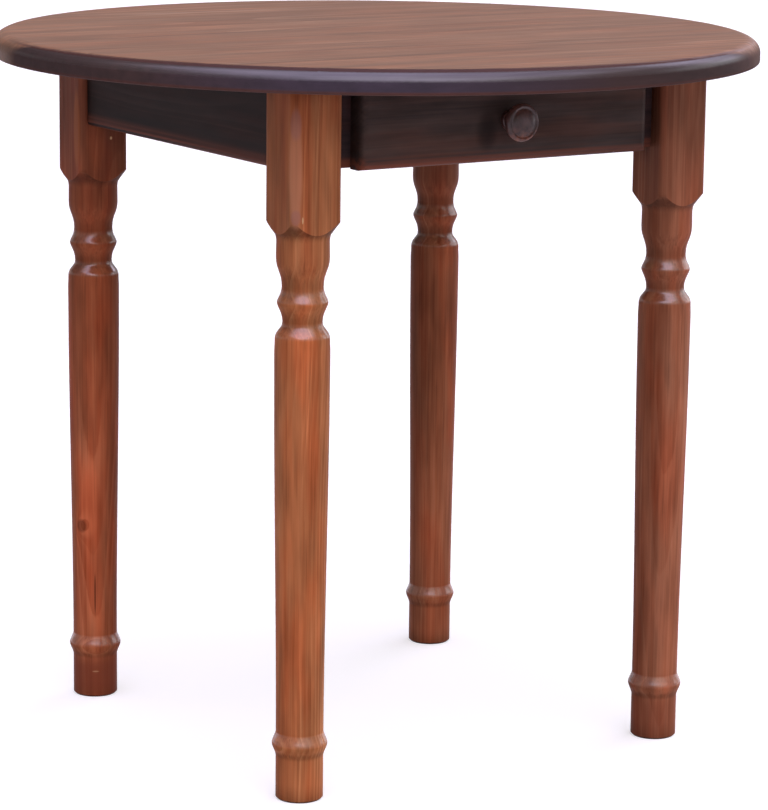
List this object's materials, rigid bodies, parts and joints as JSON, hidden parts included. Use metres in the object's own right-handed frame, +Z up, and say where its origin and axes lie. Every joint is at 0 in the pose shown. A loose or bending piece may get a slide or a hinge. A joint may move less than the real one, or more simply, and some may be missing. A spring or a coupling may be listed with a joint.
{
  "type": "tavern table",
  "caption": "Round pine tavern table: glued board top with a rounded rim, turned legs with square upper blocks, aprons, and a drawer with a turned knob.",
  "frame": {"origin": "on the floor under the middle of the round top", "axes": "+Z up; the drawer opens towards -Y; +X is to the right of someone who faces the drawer"},
  "size_m": [0.8, 0.8, 0.74],
  "materials": {
    "top_pine": "satin varnish",
    "leg_pine": "red-brown stain under gloss varnish",
    "dark_pine": "dark stain under gloss varnish",
    "plain_pine": "bare, planed",
    "plywood": "bare, sanded",
    "dowel_wood": "bare",
    "zinc_steel": "zinc plated"
  },
  "bodies": {
    "table": {"back_apron": "dark_pine", "bracket_screws": "zinc_steel", "drawer_runner_left": "plain_pine", "drawer_runner_right": "plain_pine", "front_apron": "dark_pine", "kicker_left": "plain_pine", "kicker_right": "plain_pine", "kicker_screws": "zinc_steel", "leg_back_left": "leg_pine", "leg_back_right": "leg_pine", "leg_dowels": "dowel_wood", "leg_front_left": "leg_pine", "leg_front_right": "leg_pine", "runner_dowels": "dowel_wood", "side_apron_left": "dark_pine", "side_apron_right": "dark_pine", "stop_rail": "plain_pine", "top_board_1": "top_pine", "top_board_2": "top_pine", "top_board_3": "top_pine", "top_board_4": "top_pine", "top_board_5": "top_pine", "top_board_6": "top_pine", "top_board_7": "top_pine", "top_board_8": "top_pine", "top_brackets": "zinc_steel"},
    "drawer": {"drawer_front": "dark_pine", "drawer_side_left": "plain_pine", "drawer_side_right": "plain_pine", "drawer_back": "plain_pine", "drawer_bottom": "plywood", "drawer_knob": "dark_pine", "knob_screw": "zinc_steel", "drawer_dowels": "dowel_wood", "drawer_bottom_pins": "zinc_steel", "drawer_stop_block": "plain_pine", "stop_block_screws": "zinc_steel"}
  },
  "joints": [
    {"name": "drawer_slide", "type": "slide", "parent": "table", "child": "drawer", "axis": [0, -1, 0], "range_m": [0, 0.2]}
  ]
}
